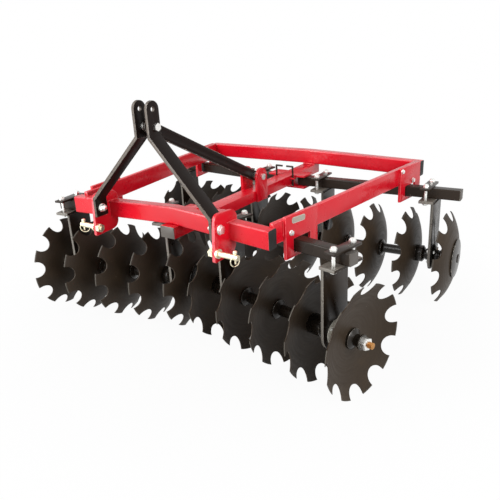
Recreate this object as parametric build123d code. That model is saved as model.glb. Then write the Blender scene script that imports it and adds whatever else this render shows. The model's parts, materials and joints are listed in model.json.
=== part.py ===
from build123d import *
import os
from math import cos, radians, sin, sqrt

# Disc harrow, lift type, tandem. Millimetres. +X is the machine's right side seen from behind
# the tractor end, -Y is the tractor end, +Z is up and z = 0 is the ground under the disc tips.
# The machine is its own mirror image in the YZ plane, but for how its discs are turned.

# Discs
disc_dia = 457.2
disc_thick = 4.5
disc_dish = 55.0
disc_flat_r = 52.0
notch_count = 10
notch_r = 41.0
notch_centre_inset = 6.0
disc_count = 5
disc_pitch = 190.5

# Gang axles, spools and end fastenings
axle_square = 25.4
square_clearance = 0.4
spool_r = 24.0
spool_flange_r = 42.0
spool_flange_thick = 10.0
end_spool_len = 50.0
end_spool_r = 30.0
end_spool_lip = 8.0
bell_r = 97.0
bell_rim = 4.0
bell_thick = 12.0
bell_flat_r = 34.0
axle_head_r = 22.0
axle_head_thick = 4.0
end_nut_flats = 46.0
end_nut_thick = 26.0
axle_end_out = 20.0

# Bearings on the standards
journal_r = 22.0
journal_shoulder = 6.0
running_gap = 0.05
housing_r = 30.0
housing_len = 62.0
flange_r = 54.0
flange_thick = 6.0
bearing_side_gap = 5.5
standard_offset = 15.0

# Standards and the clamps that hold them to the gang bars
standard_thick = 12.7
standard_width = 150.0
standard_foot_r = 58.0
clamp_plate_thick = 12.0
clamp_plate_wide = 70.0
clamp_bolt_out = 38.0
clamp_bolt_y = 57.0
clamp_plate_long = 172.0
strap_thick = 10.0
strap_wide = 50.0
strap_short = 3.0
clamp_bolt_r = 7.9
clamp_nut_flats = 24.0
clamp_nut_thick = 12.0
clamp_thread_out = 4.0

# Square tubes: gang bars and centre bar wall, plugs in their ends
tube_wall = 6.35
plug_thick = 5.0
cap_thick = 3.0
gang_bar = 50.8
gang_bar_corner = 5.0
gang_bar_z0 = 528.0
gang_bar_overhang = 4.0

# Hubs of the outermost discs and inner ends of the gang bars
front_hub_x = 807.0
front_hub_y = -482.0
front_gang_bar_x = 47.0
rear_hub_x = 906.0
rear_hub_y = 482.0
rear_gang_bar_x = 60.0

# Gang table: name, row (-1 front, +1 rear), hub of the outermost disc x and y, angle of the
# axle to the X axis in degrees, side the discs' hollow faces (+1 outward, -1 inward),
# x of the gang bar's inner end
gangs = [
    ("front", -1, front_hub_x, front_hub_y, 10.4, 1, front_gang_bar_x),
    ("rear", 1, rear_hub_x, rear_hub_y, 4.0, -1, rear_gang_bar_x),
]

# How far each disc is turned on its axle in degrees, from the outermost disc inward; further
# discs repeat the same turns
disc_turns = {
    ("front", "right"): (9.0, 18.0, 0.0, 18.0, 0.0),
    ("front", "left"): (8.0, 8.0, 26.0, 22.0, 27.0),
    ("rear", "right"): (9.0, 18.0, 0.0, 27.0, 9.0),
    ("rear", "left"): (27.0, 12.0, 5.0, 9.0, 27.0),
}

# Side rails: flat bars on edge that spread and rise toward the rear; x of the outer face and
# z of the lower edge are taken at Y = 0
rail_thick = 20.0
rail_high = 84.2
rail_x = 593.4
rail_spread = 0.116
rail_z0 = 587.7
frame_rise = 0.0095

# Cross bars of the main frame, swept back at the ends in front and forward behind
frame_z0 = gang_bar_z0 + gang_bar
cross_bar_deep = 50.8
cross_bar_high = 76.2
cross_bar_corner = 7.0
front_bar_past_rail = 17.0
rear_bar_past_rail = 9.0
front_bar_y_mid = -546.0
front_bar_y_end = -619.0
front_bar_half = rail_x + rail_spread * front_bar_y_end + front_bar_past_rail
rear_bar_y_mid = 626.0
rear_bar_y_end = 578.0
rear_bar_half = rail_x + rail_spread * rear_bar_y_end + rear_bar_past_rail
rear_bar_z0 = 597.0

# Centre bar under the cross bars
centre_bar_wide = 76.2
centre_bar_high = 50.8
centre_bar_nose = 34.0
centre_bar_seat = 1.0

# Hitch
hitch_plate_thick = 14.0
hitch_spread = 683.0
hitch_plate_front_y = -691.0
hitch_plate_lean = 14.0
hitch_plate_top_z = 706.0
hitch_plate_bottom_z = 517.0
hitch_plate_fall = 8.0
hitch_plate_corner_r = 8.0
hitch_plate_nose_r = 30.0
hitch_plate_back_r = 40.0
hitch_tab_short = 14.0
hitch_pin_y = -674.0
hitch_pin_z = 553.0
hitch_pin_r = 11.1
hitch_pin_free = 88.0
hitch_collar_r = 19.0
hitch_collar_thick = 9.0
hitch_thread_r = 9.5
hitch_nut_flats = 34.0
hitch_nut_thick = 19.0
hitch_thread_out = 8.0
lynch_hole_r = 3.3
lynch_hole_from_end = 14.0

# Mast
mast_thick = 12.7
mast_wide = 65.0
mast_y = -632.0
mast_top_x = 34.6
mast_hole_z = 1073.0
mast_hole_r = 9.75
mast_bend_z = mast_hole_z - 111.0
mast_foot_y = -650.0
mast_foot_z = 604.0
mast_bolt_y = mast_y + 8.0
mast_bolt_z = mast_hole_z - 68.0
mast_bolt_r = 9.5
mast_foot_bolt_z = 641.0
mast_foot_high = 40.0
mast_bend_step = 8.0
through_head_thick = 15.0
through_nut_thick = 12.0
through_thread_out = 3.0
spacer_wall = 6.0

# Brace from the mast to the centre bar
brace_thick = 12.7
brace_high = 50.8
lug_thick = 12.7
lug_wide = 88.0
lug_bolt_y = 68.0
lug_bolt_z = 652.0
lug_bottom_z = 531.0
lug_bolt_r = 9.5

# Corner brackets: windowed plates on the outside of the rails, the gang bars pass through
bracket_thick = 12.7
front_bracket_bottom_z = 506.0
bracket_strap_high = 18.0
bracket_leg = 47.5
bracket_top_z = 678.0
bracket_window_z = 580.0
bracket_long = 203.0
front_bracket_y0 = -512.0
rear_bracket_y0 = 379.0
rear_bracket_bottom_z = 509.0

# Centre brackets: shelves above and below the inner ends of the gang bars
shelf_thick = 10.0
shelf_reach = 112.0
shelf_half = 45.0

# Lock pins beside the centre bar
lock_pin_r = 5.0
lock_pin_y = 361.0
lock_pin_z0 = 533.0
lock_pin_z1 = 638.0
lock_pin_handle = 38.0
lock_lug_wide = 26.0
lock_lug_thick = 8.0

axle_z = disc_dia / 2
fit_gap = 0.2


def box(x0, x1, y0, y1, z0, z1):
    """A box between two corners."""
    centre = ((x0 + x1) / 2, (y0 + y1) / 2, (z0 + z1) / 2)
    return Location(centre) * Box(x1 - x0, y1 - y0, z1 - z0)


def rod_x(r, x0, x1, y=0.0, z=0.0):
    """A round rod along X."""
    return Location(((x0 + x1) / 2, y, z), (0, 90, 0)) * Cylinder(r, x1 - x0)


def rod_z(r, z0, z1, x=0.0, y=0.0):
    """A round rod along Z."""
    return Location((x, y, (z0 + z1) / 2)) * Cylinder(r, z1 - z0)


def side_cut(points, x0, x1):
    """A plate with its outline given as (y, z) points, from x0 to x1."""
    outline = Plane.YZ * make_face(Polyline(*points, close=True))
    return extrude(Location((x0, 0, 0)) * outline, x1 - x0, dir=(1, 0, 0))


def rising_bar(x0, x1, y0, y1, z0, z1):
    """A bar along Y that rises toward the rear with the frame; z0 and z1 hold at Y = 0."""
    low = frame_rise * y0
    high = frame_rise * y1
    return side_cut([(y0, z0 + low), (y1, z0 + high), (y1, z1 + high), (y0, z1 + low)], x0, x1)


def round_side(shape, r, y, z):
    """Round the edge along X that lies nearest to a place in the side view."""
    edges = shape.edges().filter_by(Axis.X)
    return fillet(edges.sort_by_distance((shape.center().X, y, z))[0], r)


def turned_x(points):
    """A solid of revolution about the X axis from (x, radius) points; the outline is closed
    along the axis."""
    x_first = points[0][0]
    x_last = points[-1][0]
    outline = Polyline((x_first, 0), *points, (x_last, 0), close=True)
    return revolve(Plane.XY * make_face(outline), Axis.X)


def hex_x(flats, x0, x1, y=0.0, z=0.0):
    """A hexagon bar along X, as a nut or a bolt head."""
    across = flats / sqrt(3)
    outline = Location((x0, y, z), (0, 90, 0)) * RegularPolygon(across, 6)
    return extrude(outline, x1 - x0, dir=(1, 0, 0))


def mirrored(shape):
    """The left-hand copy of a right-hand piece."""
    return mirror(shape, about=Plane.YZ)


parts = {}


def keep(name, *solids):
    """Add solids to one node; several solids in it stay separate."""
    parts.setdefault(name, []).extend(solids)


# One disc, hub centre at the origin, hollow side towards +X, one tooth straight down
def make_disc():
    r_rim = disc_dia / 2
    half = disc_thick / 2
    sphere_r = ((r_rim - disc_flat_r) ** 2 + disc_dish ** 2) / (2 * disc_dish)
    half_span = (r_rim - disc_flat_r) / 2
    mid_r = disc_flat_r + half_span
    mid_x = sphere_r - sqrt(sphere_r ** 2 - half_span ** 2)
    with BuildSketch(Plane.XY) as outline:
        with BuildLine():
            Line((-half, 0), (-half, disc_flat_r))
            ThreePointArc((-half, disc_flat_r), (mid_x - half, mid_r), (disc_dish - half, r_rim))
            Line((disc_dish - half, r_rim), (disc_dish + half, r_rim))
            ThreePointArc((disc_dish + half, r_rim), (mid_x + half, mid_r), (half, disc_flat_r))
            Line((half, disc_flat_r), (half, 0))
            Line((half, 0), (-half, 0))
        make_face()
    disc = revolve(outline.sketch, Axis.X)
    notch_reach = r_rim - notch_centre_inset
    for i in range(notch_count):
        turn = radians(360 / notch_count * (i + 0.5))
        cut = rod_x(notch_r, 0, 2 * disc_dish, notch_reach * sin(turn), -notch_reach * cos(turn))
        disc -= cut
    return disc


def axle_hole(shape, x0, x1):
    """Cut the square hole of the axle through a turned piece."""
    half = axle_square / 2 + square_clearance / 2
    return shape - box(x0 - 1, x1 + 1, -half, half, -half, half)


# A plain spool between two discs
def make_spool(x0, x1):
    body = turned_x([
        (x0, spool_flange_r), (x0 + spool_flange_thick, spool_flange_r),
        (x0 + 2 * spool_flange_thick, spool_r), (x1 - 2 * spool_flange_thick, spool_r),
        (x1 - spool_flange_thick, spool_flange_r), (x1, spool_flange_r),
    ])
    return axle_hole(body, x0, x1)


# A spool that turns in a bearing whose middle is at x_bearing
def make_bearing_spool(x0, x1, x_bearing):
    j0 = x_bearing - housing_len / 2 - bearing_side_gap
    j1 = x_bearing + housing_len / 2 + bearing_side_gap
    body = turned_x([
        (x0, spool_flange_r), (j0 - spool_flange_thick, spool_flange_r),
        (j0, journal_r + journal_shoulder), (j0, journal_r), (j1, journal_r),
        (j1, journal_r + journal_shoulder), (j1 + spool_flange_thick, spool_flange_r), (x1, spool_flange_r),
    ])
    return axle_hole(body, x0, x1)


# The bearing housing: a round body with a flange on each face of the standard
def make_housing(x_bearing):
    half = housing_len / 2
    face = standard_thick / 2
    body = turned_x([
        (x_bearing - half, housing_r), (x_bearing - face - flange_thick, housing_r),
        (x_bearing - face - flange_thick, flange_r), (x_bearing - face, flange_r),
        (x_bearing - face, housing_r), (x_bearing + face, housing_r),
        (x_bearing + face, flange_r), (x_bearing + face + flange_thick, flange_r),
        (x_bearing + face + flange_thick, housing_r), (x_bearing + half, housing_r),
    ])
    return body - rod_x(journal_r + running_gap, x_bearing - half - 1, x_bearing + half + 1)


def hub_x(k):
    """Place of disc k along its axle, counted inward from the outermost disc."""
    return -k * disc_pitch


def bearing_places(hollow):
    """Bearing middles along the axle: one pitch in from each end, nearer the disc whose
    bulging back faces the gap."""
    gaps = (0, disc_count - 2)
    return {k: hub_x(k) - disc_pitch / 2 + hollow * standard_offset for k in gaps}


# The end of a gang beyond its last disc, looking along +X from the disc's face: on a hollow
# face a short spool with the nut and thread beyond it, on a bulging face a domed washer with
# the axle's low round head on it
def make_end(hollow_face):
    if hollow_face:
        x = end_spool_len
        body = turned_x([
            (0, spool_flange_r), (spool_flange_thick, spool_flange_r),
            (2 * spool_flange_thick, spool_r), (x - end_spool_lip, spool_r),
            (x - end_spool_lip, end_spool_r), (x, end_spool_r)])
        nut = hex_x(end_nut_flats, x, x + end_nut_thick)
        nut += rod_x(axle_square / 2, x, x + end_nut_thick + axle_end_out)
    else:
        x = bell_thick
        crown = ((bell_rim + 2 * bell_thick) / 3, (bell_r + bell_flat_r) / 2)
        outline = make_face([
            Line((0, 0), (0, bell_r)), Line((0, bell_r), (bell_rim, bell_r)),
            ThreePointArc((bell_rim, bell_r), crown, (x, bell_flat_r)),
            Line((x, bell_flat_r), (x, 0)), Line((x, 0), (0, 0))])
        body = revolve(Plane.XY * outline, Axis.X)
        nut = rod_x(axle_head_r, x, x + axle_head_thick)
    return axle_hole(body, 0, x), nut, x


# Turning pieces of one gang, along X, axle centre on the X axis
def make_gang(hollow, turns):
    disc = make_disc()
    if hollow < 0:
        disc = mirror(disc, about=Plane.YZ)
    discs = []
    for k in range(disc_count):
        turn = turns[k % len(turns)]
        turned = axle_hole(Rotation(turn, 0, 0) * disc, -disc_dish, disc_dish)
        discs.append(Location((hub_x(k), 0, 0)) * turned)
    spools = []
    bearings = bearing_places(hollow)
    half = disc_thick / 2
    for k in range(disc_count - 1):
        x0 = hub_x(k + 1) + half
        x1 = hub_x(k) - half
        if k in bearings:
            spools.append(make_bearing_spool(x0, x1, bearings[k]))
        else:
            spools.append(make_spool(x0, x1))
    x_out = hub_x(0) + half
    x_in = hub_x(disc_count - 1) - half
    body_out, nut_out, long_out = make_end(hollow > 0)
    body_in, nut_in, long_in = make_end(hollow < 0)
    spools.append(Location((x_out, 0, 0)) * body_out)
    spools.append(Location((x_in, 0, 0)) * mirrored(body_in))
    half_sq = axle_square / 2
    axle = box(x_in - long_in, x_out + long_out, -half_sq, half_sq, -half_sq, half_sq)
    axle += Location((x_out, 0, 0)) * nut_out
    axle += Location((x_in, 0, 0)) * mirrored(nut_in)
    return discs, spools, axle


# A standard with its foot round the bearing; the plate on its top reaches to the hollow side
def make_standard(x, hollow):
    top = gang_bar_z0 - clamp_plate_thick
    x0 = x - standard_thick / 2
    x1 = x + standard_thick / 2
    half = standard_width / 2
    plate = box(x0, x1, -half, half, axle_z, top)
    foot = box(x0, x1, -half, half, axle_z - standard_foot_r, axle_z)
    foot = foot & rod_x(half, x0, x1, 0, axle_z)
    plate += foot
    plate -= rod_x(housing_r, x0 - 1, x1 + 1, 0, axle_z)
    half_long = clamp_plate_long / 2
    a, b = sorted((x - hollow * standard_thick / 2,
                   x + hollow * (clamp_plate_wide - standard_thick / 2)))
    plate += box(a, b, -half_long, half_long, top, gang_bar_z0)
    for y in (-clamp_bolt_y, clamp_bolt_y):
        plate -= rod_z(clamp_bolt_r + fit_gap, top - 1, gang_bar_z0 + 1,
                       x + hollow * clamp_bolt_out, y)
    return plate


# The strap over the gang bar with its two bolts and nuts
def make_clamp(x):
    z0 = gang_bar_z0 + gang_bar
    half_long = clamp_plate_long / 2 - strap_short
    half_wide = strap_wide / 2
    strap = box(x - half_wide, x + half_wide, -half_long, half_long, z0, z0 + strap_thick)
    top = z0 + strap_thick
    low = gang_bar_z0 - clamp_plate_thick - clamp_nut_thick
    for y in (-clamp_bolt_y, clamp_bolt_y):
        strap += rod_z(clamp_bolt_r, low - clamp_thread_out,
                       top + clamp_nut_thick + clamp_thread_out, x, y)
        for z in (top, low):
            nut = RegularPolygon(clamp_nut_flats / sqrt(3), 6)
            strap += Location((x, y, z)) * extrude(nut, clamp_nut_thick)
    return strap


# Gang bar, square tube above the axle, with a plug and cap in each end
def make_gang_bar(x_inner):
    half = gang_bar / 2
    top = gang_bar_z0 + gang_bar
    inner = half - tube_wall
    x_outer = gang_bar_overhang

    def whole(x0, x1):
        bar = box(x0, x1, -half, half, gang_bar_z0, top)
        return fillet(bar.edges().filter_by(Axis.X), gang_bar_corner)

    def core(x0, x1):
        return box(x0, x1, -inner, inner, gang_bar_z0 + tube_wall, top - tube_wall)
    plugs = [core(x_inner, x_inner + plug_thick) + whole(x_inner - cap_thick, x_inner),
             core(x_outer - plug_thick, x_outer) + whole(x_outer, x_outer + cap_thick)]
    return whole(x_inner, x_outer) - core(x_inner - 1, x_outer + 1), plugs


def build_gangs():
    lift = Location((0, 0, axle_z))
    for row_name, row, x_hub, y_hub, angle, hollow, x_bar_end in gangs:
        bearings = bearing_places(hollow).values()
        bar, plugs = make_gang_bar((x_bar_end - x_hub) / cos(radians(angle)))
        static = {
            f"{row_name}_standards": [make_standard(x, hollow) for x in bearings],
            f"{row_name}_bearings": [lift * make_housing(x) for x in bearings],
            f"{row_name}_clamps": [make_clamp(x + hollow * clamp_bolt_out) for x in bearings],
            f"{row_name}_gang_bars": [bar],
            "tube_plugs": plugs,
        }
        for side_name, side in (("right", 1), ("left", -1)):
            turn = row * angle if side > 0 else 180 - row * angle
            place = Location((side * x_hub, y_hub, 0), (0, 0, turn))
            for node, solids in static.items():
                keep(node, *[place * s for s in solids])
            discs, spools, axle = make_gang(hollow, disc_turns[row_name, side_name])
            keep(f"{row_name}_{side_name}_discs", *[place * lift * s for s in discs])
            keep(f"{row_name}_{side_name}_spools", *[place * lift * s for s in spools])
            keep(f"{row_name}_{side_name}_axle", place * lift * axle)


# Cross bars: half length, front face y in the middle and at the end, bottom z
front_bar = (front_bar_half, front_bar_y_mid, front_bar_y_end, frame_z0)
rear_bar = (rear_bar_half, rear_bar_y_mid, rear_bar_y_end, rear_bar_z0)


def front_face_y(bar, x):
    """Y of the front face of a cross bar at a place along X."""
    half, y_mid, y_end, z0 = bar
    return y_mid + (y_end - y_mid) * x / half


def bar_length(bar, x0, x1, inset=0.0):
    """The right half of a cross bar from x0 to x1, smaller by inset all round."""
    z0 = bar[3]
    outline = Polyline(
        (x0, front_face_y(bar, x0) + inset), (x1, front_face_y(bar, x1) + inset),
        (x1, front_face_y(bar, x1) + cross_bar_deep - inset),
        (x0, front_face_y(bar, x0) + cross_bar_deep - inset), close=True)
    return extrude(Plane.XY.offset(z0 + inset) * make_face(outline), cross_bar_high - 2 * inset)


def rounded_length(bar, x0, x1):
    """The right half of a cross bar from x0 to x1 with rounded corners."""
    solid = bar_length(bar, x0, x1)
    along = [e for e in solid.edges() if abs(e.tangent_at(0).X) > abs(e.tangent_at(0).Y)]
    return fillet(along, cross_bar_corner)


def rail_meets(inset, y_mid, slope):
    """Where a line of the right rail, inset from its outer face, meets a cross bar's face that
    is at y_mid on the middle plane."""
    x_line = rail_x - inset * sqrt(1 + rail_spread ** 2)
    y = (y_mid + slope * x_line) / (1 - slope * rail_spread)
    return x_line + rail_spread * y, y


def bracket_slab(y0, y1, z0, z1):
    """A piece of a corner bracket plate, lying on the outer face of the right rail."""
    xa = rail_x + rail_spread * y0
    xb = rail_x + rail_spread * y1
    outline = Polyline((xa, y0), (xa + bracket_thick, y0), (xb + bracket_thick, y1), (xb, y1),
                       close=True)
    return extrude(Plane.XY.offset(z0) * make_face(outline), z1 - z0)


def build_frame():
    for name, bar in (("front_bar", front_bar), ("rear_bar", rear_bar)):
        half = bar[0]
        tube = rounded_length(bar, 0, half) - bar_length(bar, 0, half + tube_wall, tube_wall)
        plug = bar_length(bar, half - plug_thick, half, tube_wall)
        plug += rounded_length(bar, half, half + cap_thick)
        keep(name, tube + mirrored(tube))
        keep("tube_plugs", plug, mirrored(plug))
    rear_space = bar_length(rear_bar, 0, rear_bar_half + cross_bar_deep)

    # Side rails, from the back of the front bar to the face of the rear bar
    front = (front_bar_y_mid + cross_bar_deep, (front_bar_y_end - front_bar_y_mid) / front_bar_half)
    rear = (rear_bar_y_mid, (rear_bar_y_end - rear_bar_y_mid) / rear_bar_half)
    plan = make_face(Polyline(
        rail_meets(0, *front), rail_meets(0, *rear), rail_meets(rail_thick, *rear),
        rail_meets(rail_thick, *front), close=True))
    rail = extrude(Plane.XY.offset(rail_z0 - 2 * rail_high) * plan, 5 * rail_high)
    rail = rail & rising_bar(0, 2 * rail_x, -2 * rail_x, 2 * rail_x, rail_z0, rail_z0 + rail_high)
    keep("right_side_rail", rail)
    keep("left_side_rail", mirrored(rail))

    # Centre bar under the cross bars, with plugs; a spacer fills the step to the rear bar
    half = centre_bar_wide / 2
    y0 = front_bar_y_mid - centre_bar_nose
    y1 = rear_bar_y_mid + cross_bar_deep
    top = frame_z0 + centre_bar_seat - frame_rise * front_bar_y_mid
    low = top - centre_bar_high
    inner = half - tube_wall
    whole = rising_bar(-half, half, y0, y1, low, top)

    def core(a, b):
        return rising_bar(-inner, inner, a, b, low + tube_wall, top - tube_wall)
    keep("centre_bar", whole - core(y0 - 1, y1 + 1) - box(-half, half, y0 + centre_bar_nose / 2,
         front_bar_y_mid + 2 * cross_bar_deep, frame_z0, top))
    keep("tube_plugs", core(y0, y0 + plug_thick) + rising_bar(-half, half, y0 - cap_thick, y0,
         low, top))
    keep("tube_plugs", core(y1 - plug_thick, y1) + rising_bar(-half, half, y1, y1 + cap_thick,
         low, top))
    spacer = box(-half, half, rear_bar_y_mid, y1, low + centre_bar_high / 2, rear_bar_z0)
    keep("rear_spacer", spacer - whole)

    # Centre brackets: a shelf under the gang bars and the centre bar, two shelves above
    for name, row, x_hub, y_hub, angle, hollow, x_bar_end in gangs:
        y = y_hub - row * (x_hub - half) * sin(radians(angle)) / cos(radians(angle))
        a, b = y - shelf_half, y + shelf_half
        lower = box(-shelf_reach, shelf_reach, a, b, gang_bar_z0 - shelf_thick, gang_bar_z0)
        lower += box(-half, half, a, b, gang_bar_z0, low + centre_bar_high / 2) - whole
        upper = box(half, shelf_reach, a, b, frame_z0, frame_z0 + shelf_thick)
        keep(f"{name}_centre_bracket", lower, upper, mirrored(upper))

    # Lock pins with their lugs on the sides of the centre bar
    x = half + lock_lug_wide / 2
    z = frame_z0 - lock_lug_thick
    lug = box(half, half + lock_lug_wide, lock_pin_y - lock_lug_wide / 2,
              lock_pin_y + lock_lug_wide / 2, z, frame_z0)
    lug -= rod_z(lock_pin_r + fit_gap, z - 1, frame_z0 + 1, x, lock_pin_y)
    keep("rear_centre_bracket", lug, mirrored(lug))
    pin = rod_z(lock_pin_r, lock_pin_z0, lock_pin_z1, x, lock_pin_y)
    pin += rod_x(lock_pin_r, x - lock_pin_handle, x, lock_pin_y, lock_pin_z1)
    pin += Location((x, lock_pin_y, lock_pin_z1)) * Sphere(lock_pin_r)
    keep("lock_pins", pin, mirrored(pin))

    # Corner brackets
    for name, y0, low in (("front", front_bracket_y0, front_bracket_bottom_z),
                          ("rear", rear_bracket_y0, rear_bracket_bottom_z)):
        y1 = y0 + bracket_long
        plate = bracket_slab(y0, y1, low, bracket_top_z) - rear_space
        y_end = min(y1, front_face_y(rear_bar, rail_x + rail_spread * y1))
        plate -= bracket_slab(y0 + bracket_leg, y_end - bracket_leg,
                              low + bracket_strap_high, bracket_window_z)
        keep(f"{name}_corner_brackets", plate, mirrored(plate))


def build_hitch():
    # Lower hitch plates, notched over the front bar, with a rounded tab under it
    x_out = hitch_spread / 2
    x_in = x_out - hitch_plate_thick
    bar_front = front_face_y(front_bar, x_out)
    bar_back = front_face_y(front_bar, x_in) + cross_bar_deep
    bar_top = frame_z0 + cross_bar_high
    f = hitch_plate_front_y
    f_top = f + hitch_plate_lean
    top = hitch_plate_top_z
    top_back = top - hitch_plate_fall
    low = hitch_plate_bottom_z
    low_back = low + hitch_plate_fall
    tab_back = bar_back - hitch_tab_short
    notch = bar_front - fit_gap
    plate = side_cut([
        (f, low), (f_top, top), (bar_back, top_back), (bar_back, bar_top), (notch, bar_top),
        (notch, frame_z0 - fit_gap), (tab_back, frame_z0 - fit_gap), (tab_back, low_back)],
        x_in, x_out)
    for r, y, z in (
            (hitch_plate_corner_r, f, low), (hitch_plate_nose_r, f_top, top),
            (hitch_plate_back_r, bar_back, top_back), (hitch_plate_back_r, tab_back, low_back)):
        plate = round_side(plate, r, y, z)
    plate -= rod_x(hitch_thread_r + fit_gap, x_in - 1, x_out + 1, hitch_pin_y, hitch_pin_z)
    plate -= rod_x(mast_bolt_r + fit_gap, x_in - 1, x_out + 1, mast_foot_y, mast_foot_bolt_z)
    keep("right_hitch_plate", plate)
    keep("left_hitch_plate", mirrored(plate))

    # Hitch pins: collar against the outer face, thread and nut inside
    y, z = hitch_pin_y, hitch_pin_z
    pin = rod_x(hitch_pin_r, x_out, x_out + hitch_pin_free + hitch_collar_thick, y, z)
    pin += rod_x(hitch_collar_r, x_out, x_out + hitch_collar_thick, y, z)
    pin += rod_x(hitch_thread_r, x_in - hitch_nut_thick - hitch_thread_out, x_out, y, z)
    pin += hex_x(hitch_nut_flats, x_in - hitch_nut_thick, x_in, y, z)
    x_hole = x_out + hitch_collar_thick + hitch_pin_free - lynch_hole_from_end
    pin -= rod_z(lynch_hole_r, z - hitch_collar_r, z + hitch_collar_r, x_hole, y)
    keep("right_hitch_pin", pin)
    keep("left_hitch_pin", mirrored(pin))

    # Mast legs: upright at the top, splayed down to the inner faces of the hitch plates
    half = mast_wide / 2
    t = mast_thick
    xt = mast_top_x - t / 2
    foot_x = x_in - t
    foot_bend_z = mast_foot_bolt_z + mast_foot_high
    legs = Polyline(
        (xt, mast_hole_z + half), (xt, mast_bend_z), (foot_x, foot_bend_z),
        (foot_x, mast_foot_z), (foot_x + t, mast_foot_z),
        (foot_x + t, foot_bend_z + mast_bend_step), (xt + t, mast_bend_z + mast_bend_step),
        (xt + t, mast_hole_z + half), close=True)
    front = min(mast_y, mast_foot_y) - mast_wide
    leg = extrude(Location((0, front, 0)) * (Plane.XZ * make_face(legs)), 3 * mast_wide,
                  dir=(0, 1, 0))
    side = side_cut([
        (mast_y - half, mast_hole_z), (mast_y - half, mast_bend_z),
        (mast_foot_y - half, foot_bend_z), (mast_foot_y - half, mast_foot_z),
        (mast_foot_y + half, mast_foot_z), (mast_foot_y + half, foot_bend_z),
        (mast_y + half, mast_bend_z), (mast_y + half, mast_hole_z)], 0, x_out)
    side += rod_x(half, 0, x_out, mast_y, mast_hole_z)
    leg = leg & side
    for r, y, z in ((mast_hole_r, mast_y, mast_hole_z),
                    (mast_bolt_r + fit_gap, mast_bolt_y, mast_bolt_z),
                    (mast_bolt_r + fit_gap, mast_foot_y, mast_foot_bolt_z)):
        leg -= rod_x(r, 0, x_out, y, z)
    keep("right_mast_leg", leg)
    keep("left_mast_leg", mirrored(leg))


def build_brace():
    # Brace bar from the mast bolt to the lugs on the centre bar
    dy = lug_bolt_y - mast_bolt_y
    dz = lug_bolt_z - mast_bolt_z
    length = sqrt(dy ** 2 + dz ** 2)
    flat = SlotCenterToCenter(length, brace_high)
    bar = extrude(flat, brace_thick / 2, both=True)
    bar -= Location((-length / 2, 0, 0)) * Cylinder(mast_bolt_r + fit_gap, 100)
    bar -= Location((length / 2, 0, 0)) * Cylinder(lug_bolt_r + fit_gap, 100)
    plane = Plane(origin=(0, (mast_bolt_y + lug_bolt_y) / 2, (mast_bolt_z + lug_bolt_z) / 2),
                  x_dir=(0, dy, dz), z_dir=(1, 0, 0))
    keep("mast_brace", plane.location * bar)

    # Lugs on both sides of the centre bar
    x_in = centre_bar_wide / 2
    half = lug_wide / 2
    lug = box(x_in, x_in + lug_thick, lug_bolt_y - half, lug_bolt_y + half, lug_bottom_z,
              lug_bolt_z)
    lug += rod_x(half, x_in, x_in + lug_thick, lug_bolt_y, lug_bolt_z)
    lug -= rod_x(lug_bolt_r + fit_gap, x_in - 1, x_in + lug_thick + 1, lug_bolt_y, lug_bolt_z)
    keep("brace_lugs", lug, mirrored(lug))

    # Through bolts with spacers on both sides of the brace
    for name, y, z, x_wall, x_face, r in (
            ("mast_bolt", mast_bolt_y, mast_bolt_z, mast_top_x - mast_thick / 2,
             mast_top_x + mast_thick / 2, mast_bolt_r),
            ("lug_bolt", lug_bolt_y, lug_bolt_z, x_in, x_in + lug_thick, lug_bolt_r)):
        x_head = x_face + through_nut_thick
        x_nut = -x_face - through_head_thick
        bolt = rod_x(r, x_nut - through_thread_out, x_head, y, z)
        bolt += hex_x(3 * r, x_face, x_head, y, z)
        bolt += hex_x(3 * r, x_nut, -x_face, y, z)
        for side in (1, -1):
            a, b = sorted((side * brace_thick / 2, side * x_wall))
            bolt += rod_x(r + spacer_wall, a, b, y, z)
        keep(name, bolt)


build_gangs()
build_frame()
build_hitch()
build_brace()

# The stored origin is under the middle of the machine
footprint = Compound([s for solids in parts.values() for s in solids]).bounding_box()
to_middle = Location((0, -(footprint.min.Y + footprint.max.Y) / 2, 0))

os.makedirs("parts", exist_ok=True)
for name, solids in parts.items():
    placed = [to_middle * s for s in solids]
    shape = placed[0] if len(placed) == 1 else Compound(children=placed)
    export_step(shape, f"parts/{name}.step")
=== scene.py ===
import json
import math
import random

import bmesh
import bpy
from mathutils import Matrix, Vector


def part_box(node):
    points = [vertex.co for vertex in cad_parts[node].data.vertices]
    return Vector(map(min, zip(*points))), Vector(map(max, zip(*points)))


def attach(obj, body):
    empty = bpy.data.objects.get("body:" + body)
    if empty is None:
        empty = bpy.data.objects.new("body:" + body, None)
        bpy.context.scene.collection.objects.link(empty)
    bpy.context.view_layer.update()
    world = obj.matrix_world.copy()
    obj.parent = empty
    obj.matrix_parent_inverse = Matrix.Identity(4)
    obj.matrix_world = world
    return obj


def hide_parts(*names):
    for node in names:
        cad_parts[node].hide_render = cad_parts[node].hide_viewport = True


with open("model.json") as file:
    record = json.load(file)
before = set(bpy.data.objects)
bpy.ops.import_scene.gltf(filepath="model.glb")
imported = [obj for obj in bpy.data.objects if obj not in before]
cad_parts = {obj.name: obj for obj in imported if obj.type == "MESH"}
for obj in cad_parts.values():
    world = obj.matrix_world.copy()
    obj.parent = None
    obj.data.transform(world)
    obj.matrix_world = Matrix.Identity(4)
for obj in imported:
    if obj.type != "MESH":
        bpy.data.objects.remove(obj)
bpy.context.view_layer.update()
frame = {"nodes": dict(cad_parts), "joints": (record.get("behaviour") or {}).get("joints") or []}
nodes = frame["nodes"]
random.seed(7)

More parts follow.
